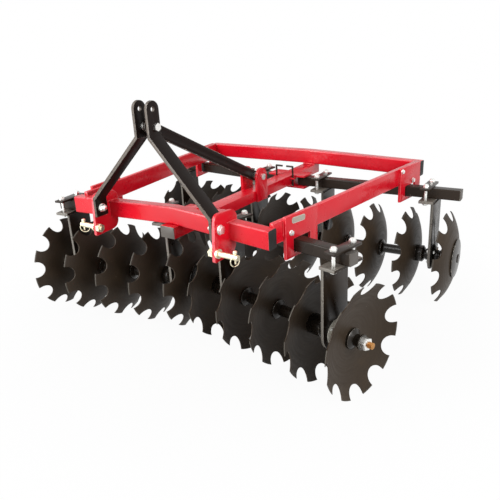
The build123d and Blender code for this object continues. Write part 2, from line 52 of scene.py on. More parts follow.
# The harrow's own sizes that the dressing needs, in metres
GANG_BAR_TOP = 0.5788
CLAMP_PLATE_BOTTOM = 0.516
DISC_PITCH = 0.1905
DISC_HALF = 0.00225
DISC_COUNT = 5
STANDARD_OFFSET = 0.015
STANDARD_HALF = 0.00635
AXLE_HALF = 0.0127
END_SPOOL = 0.050
BELL_THICK = 0.012
MAST_THICK = 0.0127
MAST_FOOT_HALF = 0.0325
MAST_FOOT_Z = 0.641
RAIL_X = 0.5934
RAIL_SPREAD = 0.116
BRACKET_THICK = 0.0127

# How far a small part sinks into the one that it stands on
SUNK = 0.001

# Rows: which way the discs' hollow faces look along the axle, +1 outward
HOLLOW = {"front": 1, "rear": -1}
SIDES = ("right", "left")


# Places along the gangs
def gang_frames():
    """For each gang body, a matrix whose X runs outward along the axle from the outer hub."""
    found = {}
    for joint in frame["joints"]:
        x = Vector(joint["axis"]).normalized()
        z = Vector((0, 0, 1))
        y = z.cross(x)
        place = Matrix((x, y, z)).transposed().to_4x4()
        place.translation = Vector(joint["pos_m"])
        found[joint["child"]] = place
    return found


def on_ground(place):
    """The same frame lowered so that its origin is at floor height."""
    low = place.copy()
    low.translation.z = 0.0
    return low


def bearing_places(hollow):
    """Where a gang's two bearings sit along its axle: the gaps next to the end discs."""
    return [-(k + 0.5) * DISC_PITCH + hollow * STANDARD_OFFSET for k in (0, DISC_COUNT - 2)]


gangs = gang_frames()


# Materials
def srgb(r, g, b):
    """Linear colour of an 8-bit screen colour."""
    def channel(v):
        v = v / 255
        return v / 12.92 if v <= 0.04045 else ((v + 0.055) / 1.055) ** 2.4
    return (channel(r), channel(g), channel(b), 1.0)


def shade(colour, factor):
    """A lighter or darker version of a colour."""
    return tuple(min(1.0, v * factor) for v in colour[:3]) + (1.0,)


class Finish:
    """A procedural material under construction."""

    def __init__(self, name, colour, roughness, metallic=0.0, specular=0.5):
        self.material = bpy.data.materials.new(name)
        self.material.use_nodes = True
        self.tree = self.material.node_tree
        self.shader = self.tree.nodes["Principled BSDF"]
        self.shader.inputs["Base Color"].default_value = colour
        self.shader.inputs["Roughness"].default_value = roughness
        self.shader.inputs["Metallic"].default_value = metallic
        self.shader.inputs["Specular IOR Level"].default_value = specular
        coordinates = self.tree.nodes.new("ShaderNodeTexCoord")
        self.place = coordinates.outputs["Object"]
        self.height = None

    def node(self, kind, **settings):
        """A new shader node with its settings."""
        made = self.tree.nodes.new(kind)
        for key, value in settings.items():
            setattr(made, key, value)
        return made

    def link(self, source, target):
        """Join an output to an input."""
        self.tree.links.new(source, target)

    def noise(self, scale, detail=4.0, rough=0.55, place=None):
        """Cloudy noise between 0 and 1, over the object's own coordinates."""
        made = self.node("ShaderNodeTexNoise")
        made.inputs["Scale"].default_value = scale
        made.inputs["Detail"].default_value = detail
        made.inputs["Roughness"].default_value = rough
        self.link(place or self.place, made.inputs["Vector"])
        return made.outputs["Fac"]

    def band(self, value, low, high, to_low=0.0, to_high=1.0):
        """A soft step from to_low to to_high while the value goes from low to high."""
        made = self.node("ShaderNodeMapRange", interpolation_type="SMOOTHSTEP")
        made.inputs["From Min"].default_value = low
        made.inputs["From Max"].default_value = high
        made.inputs["To Min"].default_value = to_low
        made.inputs["To Max"].default_value = to_high
        self.link(value, made.inputs["Value"])
        return made.outputs["Result"]

    def maths(self, operation, a, b=None):
        """One sum over numbers or sockets."""
        made = self.node("ShaderNodeMath", operation=operation)
        for socket, value in zip(made.inputs, (a, b)):
            if value is None:
                continue
            if isinstance(value, (int, float)):
                socket.default_value = value
            else:
                self.link(value, socket)
        return made.outputs[0]

    def blend(self, factor, a, b):
        """Colour a where factor is 0 and b where it is 1; each is a colour or a socket."""
        made = self.node("ShaderNodeMix", data_type="RGBA")
        self.link(factor, made.inputs["Factor"])
        for socket, value in ((made.inputs[6], a), (made.inputs[7], b)):
            if isinstance(value, tuple):
                socket.default_value = value
            else:
                self.link(value, socket)
        return made.outputs[2]

    def colour(self, source):
        """Let a socket set the colour."""
        self.link(source, self.shader.inputs["Base Color"])

    def rough(self, source):
        """Let a socket set the roughness."""
        self.link(source, self.shader.inputs["Roughness"])

    def bump(self, height, strength, distance):
        """Add a relief on top of those that are there."""
        made = self.node("ShaderNodeBump")
        made.inputs["Strength"].default_value = strength
        made.inputs["Distance"].default_value = distance
        self.link(height, made.inputs["Height"])
        if self.height is not None:
            self.link(self.height, made.inputs["Normal"])
        self.height = made.outputs["Normal"]
        self.link(self.height, self.shader.inputs["Normal"])


def sprayed_paint(name, colour, under, roughness, specular, chip_at, coat):
    """Sprayed paint over steel: slow drift of tone, a few chips down to the layer under it,
    rubbed patches and a faint orange peel."""
    paint = Finish(name, colour, roughness, specular=specular)
    drift = paint.band(paint.noise(scale=2.3, detail=3.0), low=0.35, high=0.7)
    body = paint.blend(drift, colour, shade(colour, 0.86))
    grime = paint.band(paint.noise(scale=11.0, detail=6.0, rough=0.6), low=0.55, high=0.8,
                       to_high=0.35)
    body = paint.blend(grime, body, shade(colour, 0.62))
    chips = paint.band(paint.noise(scale=70.0, detail=5.0, rough=0.62), low=chip_at,
                       high=chip_at + 0.03)
    paint.colour(paint.blend(chips, body, under))
    paint.rough(paint.band(paint.noise(scale=9.0), low=0.3, high=0.75, to_low=roughness * 0.8,
                           to_high=roughness * 1.35))
    paint.shader.inputs["Coat Weight"].default_value = coat
    paint.shader.inputs["Coat Roughness"].default_value = 0.12
    paint.bump(paint.noise(scale=320.0, detail=2.0), strength=0.10, distance=0.0004)
    return paint.material


def plated(name, colour, stain, roughness):
    """Zinc plating: spangled tone, dull patches and fine turning marks."""
    metal = Finish(name, colour, roughness, metallic=1.0)
    spangle = metal.band(metal.noise(scale=160.0, detail=2.0), low=0.35, high=0.65)
    body = metal.blend(spangle, colour, shade(colour, 0.88))
    dull = metal.band(metal.noise(scale=38.0, detail=5.0), low=0.55, high=0.8, to_high=0.6)
    metal.colour(metal.blend(dull, body, stain))
    metal.rough(metal.band(metal.noise(scale=52.0), low=0.3, high=0.7, to_low=roughness * 0.75,
                           to_high=roughness * 1.5))
    metal.bump(metal.noise(scale=700.0, detail=2.0), strength=0.12, distance=0.0003)
    return metal.material


# Discs: the colours of their lacquer and wear, and where the worn rim begins and ends, in metres
LACQUER = srgb(58, 48, 38)
LACQUER_HAZE = srgb(72, 58, 42)
BARE_RIM = srgb(78, 73, 66)
SCUFFED = srgb(92, 84, 74)
RIM_FROM = 0.2265
RIM_TO = 0.2310
RIM_WAVER = 0.006

# How finely the rolled marks change with the radius, round the disc and along the axle
MARKS_OUT = 60.0
MARKS_ROUND = 0.5
MARKS_ALONG = 5.2


def disc_lacquer(name, place):
    """Dark lacquer on pressed steel discs: faint rolled rings about the axle, worn rims."""
    steel = Finish(name, LACQUER, roughness=0.42, specular=0.15)
    turn = steel.node("ShaderNodeMapping", vector_type="TEXTURE")
    turn.inputs["Location"].default_value = place.translation
    turn.inputs["Rotation"].default_value = place.to_euler()
    steel.link(steel.place, turn.inputs["Vector"])
    split = steel.node("ShaderNodeSeparateXYZ")
    steel.link(turn.outputs["Vector"], split.inputs["Vector"])
    x, y, z = split.outputs
    square = steel.maths("ADD", steel.maths("MULTIPLY", y, y), steel.maths("MULTIPLY", z, z))
    radius = steel.maths("SQRT", square)
    rings = steel.node("ShaderNodeCombineXYZ")
    round_angle = steel.maths("ARCTAN2", y, z)
    steel.link(steel.maths("MULTIPLY", radius, MARKS_OUT), rings.inputs["X"])
    steel.link(steel.maths("MULTIPLY", round_angle, MARKS_ROUND), rings.inputs["Y"])
    steel.link(steel.maths("MULTIPLY", x, MARKS_ALONG), rings.inputs["Z"])
    marks = steel.noise(scale=2.2, detail=5.0, rough=0.6, place=rings.outputs["Vector"])
    body = steel.blend(steel.band(marks, low=0.3, high=0.72), LACQUER, shade(LACQUER, 0.86))
    haze = steel.band(steel.noise(scale=6.5, detail=5.0, rough=0.6), low=0.5, high=0.75,
                      to_high=0.5)
    body = steel.blend(haze, body, LACQUER_HAZE)
    wavering = steel.maths("ADD", radius, steel.maths("MULTIPLY", marks, RIM_WAVER))
    rim = steel.band(wavering, low=RIM_FROM, high=RIM_TO)
    body = steel.blend(rim, body, BARE_RIM)
    scuffs = steel.band(steel.noise(scale=85.0, detail=6.0, rough=0.65), low=0.68, high=0.72)
    steel.colour(steel.blend(scuffs, body, SCUFFED))
    steel.rough(steel.band(marks, low=0.3, high=0.7, to_low=0.38, to_high=0.50))
    steel.bump(marks, strength=0.06, distance=0.0006)
    steel.bump(steel.noise(scale=240.0, detail=2.0), strength=0.06, distance=0.0004)
    return steel.material


# Sprayed finishes: name, colour, layer under it, roughness, specular, noise at chips, coat
SPRAYED = [
    ("red_paint", srgb(216, 12, 34), srgb(74, 16, 16), 0.29, 0.42, 0.74, 0.1),
    ("black_paint", srgb(42, 33, 25), srgb(84, 75, 66), 0.32, 0.24, 0.71, 0.0),
    ("mast_black", srgb(27, 18, 14), srgb(58, 46, 40), 0.36, 0.13, 0.73, 0.0),
    ("cast_black", srgb(34, 28, 22), srgb(84, 76, 68), 0.26, 0.32, 0.72, 0.0),
    ("worn_edge", srgb(96, 89, 80), srgb(196, 188, 176), 0.34, 0.5, 0.54, 0.0),
    # A painted highlight: pale pink red where light catches the red parts' edges, corners and
    # forward faces
    ("painted_highlight_red", srgb(236, 92, 100), srgb(214, 40, 56), 0.28, 0.5, 0.56, 0.0),
    ("cap_grey", srgb(178, 166, 154), srgb(112, 98, 86), 0.45, 0.4, 0.66, 0.0),
    ("gang_cap", srgb(88, 82, 76), srgb(140, 132, 122), 0.4, 0.5, 0.66, 0.0),
    ("cut_steel", srgb(124, 119, 111), srgb(60, 52, 44), 0.38, 0.5, 0.62, 0.0),
    ("mast_edge", srgb(92, 82, 72), srgb(40, 32, 26), 0.36, 0.4, 0.58, 0.0),
    # Painted light: a lighter grey for upward faces, as if lit from above
    ("painted_light_top", srgb(104, 98, 90), srgb(60, 52, 44), 0.36, 0.5, 0.64, 0.0),
    # Partly painted light: a pale zinc cream pushed to near white to brighten flanges that sit in
    # the discs' shade
    ("flange_cream_painted_light", srgb(250, 246, 232), srgb(190, 172, 136), 0.3, 0.8, 0.66, 0.4),
    ("plug_plastic", srgb(30, 29, 28), srgb(56, 54, 52), 0.6, 0.35, 0.74, 0.0),
    ("blank_plate", srgb(206, 202, 192), srgb(150, 146, 138), 0.35, 0.5, 0.72, 0.0),
]

# Plated finishes: name, colour, stain, roughness
PLATED = [
    ("bright_zinc", srgb(246, 246, 242), srgb(206, 204, 196), 0.34),
    ("yellow_zinc", srgb(246, 238, 210), srgb(222, 206, 162), 0.36),
    ("brass_thread", srgb(190, 140, 84), srgb(132, 84, 44), 0.40),
]

finishes = {row[0]: sprayed_paint(*row) for row in SPRAYED}
finishes.update({row[0]: plated(*row) for row in PLATED})
for body, place in gangs.items():
    finishes[f"disc_lacquer_{body}"] = disc_lacquer(f"disc_lacquer_{body}", place)

# What the CAD nodes wear: how a name ends, finish; all other nodes are red
WEAR = [
    ("_hitch_pin", "yellow_zinc"),
    ("mast_bolt", "bright_zinc"),
    ("lug_bolt", "bright_zinc"),
    ("tube_plugs", "plug_plastic"),
    ("_spools", "cast_black"),
    ("_bearings", "cast_black"),
    ("_standards", "black_paint"),
    ("_gang_bars", "black_paint"),
    ("_axle", "black_paint"),
    ("_clamps", "black_paint"),
    ("lock_pins", "black_paint"),
    ("_mast_leg", "mast_black"),
    ("mast_brace", "mast_black"),
]


def finish_of(name):
    """The material that a CAD node wears."""
    if name.endswith("_discs"):
        row, side = name.split("_")[:2]
        return finishes[f"disc_lacquer_gang_{row}_{side}"]
    for ending, finish in WEAR:
        if name.endswith(ending):
            return finishes[finish]
    return finishes["red_paint"]


for name, node in nodes.items():
    node.data.materials.clear()
    node.data.materials.append(finish_of(name))


# Modelling helpers
MERGE = 1e-6
WHOLE_TURN = 2 * math.pi


def turned(profile, segments=32, ring=False):
    """A solid of revolution about Z from (z, radius) points; end points have radius 0, unless
    the outline is closed into a ring."""
    bm = bmesh.new()
    verts = [bm.verts.new((r, 0, z)) for z, r in profile]
    edges = [bm.edges.new(pair) for pair in zip(verts, verts[1:])]
    if ring:
        edges.append(bm.edges.new((verts[-1], verts[0])))
    bmesh.ops.spin(bm, geom=verts + edges, cent=(0, 0, 0), axis=(0, 0, 1), angle=WHOLE_TURN,
                   steps=segments, use_merge=True, use_duplicate=False)
    bmesh.ops.remove_doubles(bm, verts=bm.verts, dist=MERGE)
    bmesh.ops.recalc_face_normals(bm, faces=bm.faces)
    return bm


def round_bar(radius, length, chamfer=0.0008):
    """A round bar from z = 0 to its length with chamfered ends."""
    return turned([(0, 0), (0, radius - chamfer), (chamfer, radius), (length - chamfer, radius),
                   (length, radius - chamfer), (length, 0)], 24)


def washer(radius, thick):
    """A plain flat washer, filled, from z = 0 to its thickness."""
    return turned([(0, 0), (0, radius), (thick, radius), (thick, 0)])


# A thread's root as a share of its radius
THREAD_ROOT = 0.86


def threaded_bar(radius, length, pitch):
    """A round bar with thread ridges."""
    profile = [(0, 0), (0, radius * THREAD_ROOT)]
    count = max(2, int(length / pitch))
    for i in range(count):
        profile.append(((i + 0.5) * length / count, radius))
        profile.append(((i + 1) * length / count, radius * THREAD_ROOT))
    profile.append((length, 0))
    return turned(profile, 20)


# A domed nut's cap: shares of its height and of its radius
DOME_OUTLINE = [(0, 0), (0, 0.94), (0.12, 1), (0.42, 1), (0.72, 0.82), (0.92, 0.5), (1, 0)]


def dome(radius, height):
    """A rounded cap from z = 0 to its height."""
    return turned([(height * up, radius * out) for up, out in DOME_OUTLINE])


# How far a nut's upper corners are cut back, as a share of its height
HEX_CHAMFER = 0.14


def hexagon(flats, height):
    """A nut or bolt head from z = 0 to its height, its upper corners chamfered."""
    bm = bmesh.new()
    radius = flats / math.sqrt(3)
    bmesh.ops.create_cone(bm, cap_ends=True, segments=6, radius1=radius, radius2=radius,
                          depth=height, matrix=Matrix.Translation((0, 0, height / 2)))
    top = [e for e in bm.edges if all(v.co.z > height / 2 for v in e.verts)]
    bmesh.ops.bevel(bm, geom=top, offset=height * HEX_CHAMFER, segments=2, profile=0.5,
                    affect="EDGES", material=-1)
    return bm


def block(x, y, z, bevel):
    """A block with eased edges about the origin."""
    bm = bmesh.new()
    bmesh.ops.create_cube(bm, size=1.0, matrix=Matrix.Diagonal((x, y, z, 1)))
    bmesh.ops.bevel(bm, geom=bm.edges[:], offset=bevel, segments=2, profile=0.5, affect="EDGES",
                    material=-1)
    return bm


def wire_ring(radius, wire):
    """A closed ring of round wire in the XZ plane."""
    bm = bmesh.new()
    at = Matrix.Translation((0, 0, radius)) @ Matrix.Rotation(-math.pi / 2, 4, "Y")
    made = bmesh.ops.create_circle(bm, cap_ends=False, segments=10, radius=wire, matrix=at)
    section = made["verts"] + list({e for v in made["verts"] for e in v.link_edges})
    bmesh.ops.spin(bm, geom=section, cent=(0, 0, 0), axis=(0, -1, 0), angle=WHOLE_TURN, steps=40,
                   use_merge=True, use_duplicate=False)
    bmesh.ops.remove_doubles(bm, verts=bm.verts, dist=MERGE)
    bmesh.ops.recalc_face_normals(bm, faces=bm.faces)
    return bm


class Piece:
    """One finished object, joined from small shapes with their own finishes."""

    def __init__(self, name, body, *materials):
        self.name = name
        self.body = body
        self.materials = materials
        self.bm = bmesh.new()

    def add(self, shape, place=Matrix(), finish=0):
        """Join a shape at a place, in the finish with that number."""
        for face in shape.faces:
            face.material_index = finish
        shape.transform(place)
        scrap = bpy.data.meshes.new("scrap")
        shape.to_mesh(scrap)
        shape.free()
        self.bm.from_mesh(scrap)
        bpy.data.meshes.remove(scrap)

    def place(self, slot, *replaced, smooth=35.0):
        """Put the piece in the scene, on its body, in place of the nodes it replaces."""
        mesh = bpy.data.meshes.new(self.name)
        self.bm.to_mesh(mesh)
        self.bm.free()
        mesh.shade_smooth()
        mesh.set_sharp_from_angle(angle=math.radians(smooth))
        for material in self.materials:
            mesh.materials.append(material)
        made = bpy.data.objects.new(self.name, mesh)
        bpy.context.scene.collection.objects.link(made)
        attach(made, self.body)
        if replaced:
            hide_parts(*replaced)


def moved(x, y, z):
    """A place that is only moved."""
    return Matrix.Translation((x, y, z))


def facing(origin, direction, roll=0.0):
    """A place whose Z looks along a direction."""
    turn = Vector(direction).to_track_quat("Z", "Y").to_matrix().to_4x4()
    return Matrix.Translation(origin) @ turn @ Matrix.Rotation(roll, 4, "Z")


UPSIDE_DOWN = Matrix.Rotation(math.pi, 4, "X")

# Rounded copies of CAD nodes: what is merged, what counts as flat and what as a sharp edge
NODE_MERGE = 2e-6
FLAT_BELOW = math.radians(0.5)
SHARP_FROM = math.radians(28)
EASED_SMOOTH = 40.0


def ease_edges(name, body, width, slot, paint, edge, steps=2, **others):
    """Take the CAD node's place with a copy whose outer edges are rounded off and wear the edge
    finish; on red parts that finish is a painted highlight.
    others names further finishes, each with a test of a face's middle and direction."""
    source = nodes[name]
    further = [material for material, _ in others.values()]
    piece = Piece(f"{name}_eased", body, paint, edge, *further)
    bm = piece.bm
    bm.from_mesh(source.data)
    bm.transform(source.matrix_world)
    bmesh.ops.remove_doubles(bm, verts=bm.verts, dist=NODE_MERGE)
    bmesh.ops.dissolve_limit(bm, angle_limit=FLAT_BELOW, verts=bm.verts, edges=bm.edges)
    for face in bm.faces:
        face.material_index = 0
        for i, (_, test) in enumerate(others.values()):
            if test(face.calc_center_median(), face.normal):
                face.material_index = i + 2
    outer = [e for e in bm.edges if e.is_manifold and e.calc_face_angle_signed() > SHARP_FROM]
    made = bmesh.ops.bevel(bm, geom=outer, offset=width, segments=steps, profile=0.5,
                           affect="EDGES", material=-1, clamp_overlap=True)
    for face in made["faces"]:
        if face.material_index == 0:
            face.material_index = 1
    bmesh.ops.recalc_face_normals(bm, faces=bm.faces)
    piece.place(slot, name, smooth=EASED_SMOOTH)


# Weld ripples: their spacing, uneven size and flatness, as shares of the bead's radius
RIPPLE_STEP = 0.9
RIPPLE_SMALL = 0.92
RIPPLE_LARGE = 1.12
RIPPLE_FLAT = 0.75


def weld_bead(piece, start, end, radius):
    """Overlapping flat ripples along a line, as a weld run leaves them."""
    start = Vector(start)
    along = Vector(end) - start
    count = max(3, round(along.length / (radius * RIPPLE_STEP)))
    flatten = Matrix.Diagonal((1, 1, RIPPLE_FLAT, 1))
    for i in range(count):
        ripple = bmesh.new()
        size = radius * random.uniform(RIPPLE_SMALL, RIPPLE_LARGE)
        bmesh.ops.create_uvsphere(ripple, u_segments=10, v_segments=6, radius=size)
        piece.add(ripple, facing(start + along * ((i + 0.5) / count), along) @ flatten)


# Hexagon bolts: sizes as shares of the shank's radius
HEAD_FLATS = 3.0
HEAD_HIGH = 1.25
HEAD_WASHER_R = 2.05
HEAD_WASHER_TOP_R = 1.9
HEAD_WASHER_THICK = 0.32
HEAD_WASHER_EDGE = 0.8
NUT_HIGH = 1.5
NUT_WASHER_R = 2.0
NUT_WASHER_THICK = 0.3
THREAD_R = 0.98
THREAD_OUT = 0.9
THREAD_PITCH = 0.0016


def add_bolt(piece, place, radius, grip=0.0, roll=0.3):
    """A hexagon bolt: its washer and head sit on the surface at the place. With a grip, its
    shank goes down through it to a nut."""
    place = place @ Matrix.Rotation(roll, 4, "Z")
    rise = radius * HEAD_WASHER_THICK
    piece.add(turned([(0, 0), (0, radius * HEAD_WASHER_R),
                      (rise * HEAD_WASHER_EDGE, radius * HEAD_WASHER_R),
                      (rise, radius * HEAD_WASHER_TOP_R), (rise, 0)]), place)
    piece.add(hexagon(radius * HEAD_FLATS, radius * HEAD_HIGH), place @ moved(0, 0, rise))
    if grip:
        piece.add(round_bar(radius, grip + 2 * SUNK), place @ moved(0, 0, -grip - SUNK))
        down = place @ moved(0, 0, -grip) @ UPSIDE_DOWN
        seat = radius * NUT_WASHER_THICK
        piece.add(washer(radius * NUT_WASHER_R, seat), down)
        piece.add(hexagon(radius * HEAD_FLATS, radius * NUT_HIGH), down @ moved(0, 0, seat))
        piece.add(threaded_bar(radius * THREAD_R, radius * THREAD_OUT, THREAD_PITCH),
                  down @ moved(0, 0, radius * (NUT_WASHER_THICK + NUT_HIGH)))


# Gang clamps: a strap over the gang bar, two long bolts with plated nuts above and below
STRAP_THICK = 0.010
STRAP_WIDE = 0.050
STRAP_LONG = 0.166
STRAP_EASE = 0.002
CLAMP_BOLT_OUT = 0.038
CLAMP_BOLT_Y = 0.057
CLAMP_THREAD_R = 0.0079
CLAMP_THREAD_LONG = 0.012
CLAMP_THREAD_OUT = 0.003
CLAMP_THREAD_PITCH = 0.002
CLAMP_SHANK_R = 0.97 * CLAMP_THREAD_R
CLAMP_SHANK_EASE = 0.0015
CLAMP_NUT_FLATS = 0.024
CLAMP_NUT_THICK = 0.012
CLAMP_DOME_R = 0.46 * CLAMP_NUT_FLATS
CLAMP_DOME_HIGH = 0.0078


def make_clamps(row):
    """The straps, long bolts and nuts of a row's four clamps."""
    piece = Piece(f"{row}_clamps_dressed", "frame", finishes["black_paint"],
                  finishes["bright_zinc"])
    top = GANG_BAR_TOP + STRAP_THICK
    low = CLAMP_PLATE_BOTTOM - CLAMP_NUT_THICK
    shank_long = top + CLAMP_NUT_THICK - low
    for side in SIDES:
        ground = on_ground(gangs[f"gang_{row}_{side}"])
        for x in bearing_places(HOLLOW[row]):
            x += HOLLOW[row] * CLAMP_BOLT_OUT
            piece.add(block(STRAP_WIDE, STRAP_LONG, STRAP_THICK, STRAP_EASE),
                      ground @ moved(x, 0, GANG_BAR_TOP + STRAP_THICK / 2))
            for y in (-CLAMP_BOLT_Y, CLAMP_BOLT_Y):
                at = ground @ moved(x, y, 0)
                roll = Matrix.Rotation(random.uniform(0, 1), 4, "Z")
                piece.add(hexagon(CLAMP_NUT_FLATS, CLAMP_NUT_THICK),
                          at @ moved(0, 0, top) @ roll, 1)
                piece.add(dome(CLAMP_DOME_R, CLAMP_DOME_HIGH),
                          at @ moved(0, 0, top + CLAMP_NUT_THICK - SUNK), 1)
                piece.add(hexagon(CLAMP_NUT_FLATS, CLAMP_NUT_THICK),
                          at @ moved(0, 0, CLAMP_PLATE_BOTTOM) @ UPSIDE_DOWN @ roll, 1)
                piece.add(round_bar(CLAMP_SHANK_R, shank_long, CLAMP_SHANK_EASE),
                          at @ moved(0, 0, low), 1)
                piece.add(threaded_bar(CLAMP_THREAD_R, CLAMP_THREAD_LONG, CLAMP_THREAD_PITCH),
                          at @ moved(0, 0, low - CLAMP_THREAD_OUT), 1)
    piece.place("black", f"{row}_clamps")


for row in HOLLOW:
    make_clamps(row)


# Gang axles: a square bar, a plated nut and thread on its hollow end, a round head on its
# bulging end
AXLE_EASE = 0.001
AXLE_HEAD_R = 0.022
AXLE_HEAD_THICK = 0.004
AXLE_HEAD_EASE = 0.4 * AXLE_HEAD_THICK
END_NUT_FLATS = 0.046
END_NUT_THICK = 0.026
END_NUT_ROLL = 0.2
END_THREAD = 0.020
END_THREAD_PITCH = 0.0022


def make_axle(row, side):
    """One gang's axle with what holds its ends."""
    body = f"gang_{row}_{side}"
    hub = gangs[body]
    piece = Piece(f"{row}_{side}_axle_dressed", body, finishes["black_paint"],
                  finishes["bright_zinc"], finishes["brass_thread"])
    out_long, in_long = (END_SPOOL, BELL_THICK) if HOLLOW[row] > 0 else (BELL_THICK, END_SPOOL)
    x_out = DISC_HALF + out_long
    x_in = -(DISC_COUNT - 1) * DISC_PITCH - DISC_HALF - in_long
    piece.add(block(x_out - x_in, 2 * AXLE_HALF, 2 * AXLE_HALF, AXLE_EASE),
              hub @ moved((x_out + x_in) / 2, 0, 0))
    for x, sign in ((x_out, 1), (x_in, -1)):
        at = hub @ facing((x, 0, 0), (sign, 0, 0), END_NUT_ROLL)
        if sign == HOLLOW[row]:
            piece.add(hexagon(END_NUT_FLATS, END_NUT_THICK), at, 1)
            piece.add(threaded_bar(AXLE_HALF, END_THREAD, END_THREAD_PITCH),
                      at @ moved(0, 0, END_NUT_THICK), 2)
        else:
            shoulder = AXLE_HEAD_THICK - AXLE_HEAD_EASE
            piece.add(turned([(0, 0), (0, AXLE_HEAD_R), (shoulder, AXLE_HEAD_R),
                              (AXLE_HEAD_THICK, AXLE_HEAD_R - AXLE_HEAD_EASE),
                              (AXLE_HEAD_THICK, 0)]), at)
    piece.place("black", f"{row}_{side}_axle")


for row in HOLLOW:
    for side in SIDES:
        make_axle(row, side)


# Bearings: a round housing between two pressed flanges, with its bolts and a grease nipple
HOUSING_R = 0.030
HOUSING_HALF = 0.031
HOUSING_EASE = 0.0025
JOURNAL_R = 0.0221
FLANGE_THICK = 0.006
FLANGE_R = 0.054
FLANGE_BACK_EASE = 0.001
FLANGE_EDGE_LOW = 0.002
FLANGE_EDGE_IN = 0.003
FLANGE_MOUTH_R = HOUSING_R - 0.002
COLLAR_FOOT_R = 0.037
COLLAR_R = 0.0335
COLLAR_HIGH = 0.004
COLLAR_LIP = 0.0045
FLANGE_BOLT_ANGLES = (38, 142, 218, 322)
FLANGE_BOLT_CIRCLE = FLANGE_R - 0.009
FLANGE_BOLT_FLATS = 0.013
FLANGE_BOLT_HIGH = 0.0055
FLANGE_STUB_R = 0.0038
FLANGE_STUB_LONG = 0.003
FLANGE_STUB_EASE = 0.0006
FLANGE_STUB_FROM = 0.0045
NIPPLE_FROM_END = 0.008
NIPPLE = [(0, 0), (0, 0.003), (0.005, 0.003), (0.006, 0.002), (0.008, 0.0026), (0.010, 0.0012),
          (0.010, 0)]


def flange_outline():
    """A pressed flange with the collar round its housing, as (distance, radius) points."""
    face = STANDARD_HALF
    rim = face + FLANGE_THICK
    return [(face, FLANGE_MOUTH_R), (face, FLANGE_R - FLANGE_BACK_EASE),
            (face + FLANGE_BACK_EASE, FLANGE_R), (rim - FLANGE_EDGE_LOW, FLANGE_R),
            (rim, FLANGE_R - FLANGE_EDGE_IN), (rim, COLLAR_FOOT_R), (rim + COLLAR_HIGH, COLLAR_R),
            (rim + COLLAR_LIP, FLANGE_MOUTH_R)]


def sleeve_outline():
    """The housing's sleeve round the journal, as (distance, radius) points."""
    half = HOUSING_HALF
    mouth = HOUSING_R - HOUSING_EASE
    return [(-half, JOURNAL_R), (-half, mouth), (-half + HOUSING_EASE, HOUSING_R),
            (half - HOUSING_EASE, HOUSING_R), (half, mouth), (half, JOURNAL_R)]


def add_flange_bolt(piece, hub, x, sign, angle):
    """One small bolt head on a flange, with the end of its shank."""
    turn = math.radians(angle)
    y = FLANGE_BOLT_CIRCLE * math.cos(turn)
    z = FLANGE_BOLT_CIRCLE * math.sin(turn)
    origin = (x + sign * (STANDARD_HALF + FLANGE_THICK), y, z)
    head = hub @ facing(origin, (sign, 0, 0), random.uniform(0, 1))
    piece.add(hexagon(FLANGE_BOLT_FLATS, FLANGE_BOLT_HIGH), head, 1)
    piece.add(round_bar(FLANGE_STUB_R, FLANGE_STUB_LONG, FLANGE_STUB_EASE),
              head @ moved(0, 0, FLANGE_STUB_FROM), 1)


def make_bearings(row, finish):
    """The four bearings of a row, housings and flanges in one finish."""
    piece = Piece(f"{row}_bearings_dressed", "frame", finishes[finish], finishes["bright_zinc"],
                  finishes["brass_thread"])
    for side in SIDES:
        hub = gangs[f"gang_{row}_{side}"]
        for x in bearing_places(HOLLOW[row]):
            piece.add(turned(sleeve_outline(), 40, ring=True), hub @ facing((x, 0, 0), (1, 0, 0)))
            for sign in (1, -1):
                piece.add(turned(flange_outline(), 48, ring=True),
                          hub @ facing((x, 0, 0), (sign, 0, 0)))
                for angle in FLANGE_BOLT_ANGLES:
                    add_flange_bolt(piece, hub, x, sign, angle)
            piece.add(turned(NIPPLE, 12),
                      hub @ moved(x + HOUSING_HALF - NIPPLE_FROM_END, 0, HOUSING_R - SUNK), 2)
    piece.place("zinc", f"{row}_bearings")


# The front bearings wear pale zinc cream brightened to near white as painted light; the rear ones
# stay cast black
make_bearings("front", "flange_cream_painted_light")
make_bearings("rear", "cast_black")

# Bars, plates and castings with rounded edges, a painted highlight on the red ones' edges and
# worn edges on the black ones: name, edge in metres, steps, slot
EASED = [
    ("front_bar", 0.0012, 1, "red"),
    ("rear_bar", 0.0012, 1, "red"),
    ("right_side_rail", 0.0022, 2, "red"),
    ("left_side_rail", 0.0022, 2, "red"),
    ("centre_bar", 0.0045, 3, "red"),
    ("rear_spacer", 0.002, 2, "red"),
    ("front_centre_bracket", 0.0018, 2, "red"),
    ("rear_centre_bracket", 0.0018, 2, "red"),
    ("front_corner_brackets", 0.0018, 2, "red"),
    ("rear_corner_brackets", 0.0018, 2, "red"),
    ("right_hitch_plate", 0.0018, 2, "red"),
    ("left_hitch_plate", 0.0018, 2, "red"),
    ("brace_lugs", 0.0015, 2, "red"),
    ("right_mast_leg", 0.0016, 2, "black"),
    ("left_mast_leg", 0.0016, 2, "black"),
    ("mast_brace", 0.0016, 2, "black"),
    ("front_gang_bars", 0.0030, 2, "black"),
    ("rear_gang_bars", 0.0030, 2, "black"),
]
PLUG_EDGE = 0.0012
STANDARD_EDGE = 0.0016
SPOOL_EDGE = 0.0015
CENTRE_CAP_REACH = 0.06


def painted_highlight_corner(at, way):
    """A bar's rounded upper corner, front or rear, where a highlight line is painted."""
    return 0.3 < way.z < 0.95 and abs(way.y) > 0.25


def cut_front(at, way):
    """A plate's cut edge that looks forward."""
    return way.y < -0.3


def full_front(at, way):
    """A face that looks straight forward."""
    return way.y < -0.8


def cut_side(at, way):
    """A standard's cut edge, front or rear."""
    return abs(way.y) > 0.8


def upper_side(at, way):
    """A face that looks up, which wears the painted top light."""
    return way.z > 0.9


def centre_cap(at, way):
    """The cap on the centre bar's front end."""
    return abs(at.x) < CENTRE_CAP_REACH


def gang_bar_cap(at, way):
    """The caps on the gang bars, which lie under the frame."""
    return at.z < GANG_BAR_TOP


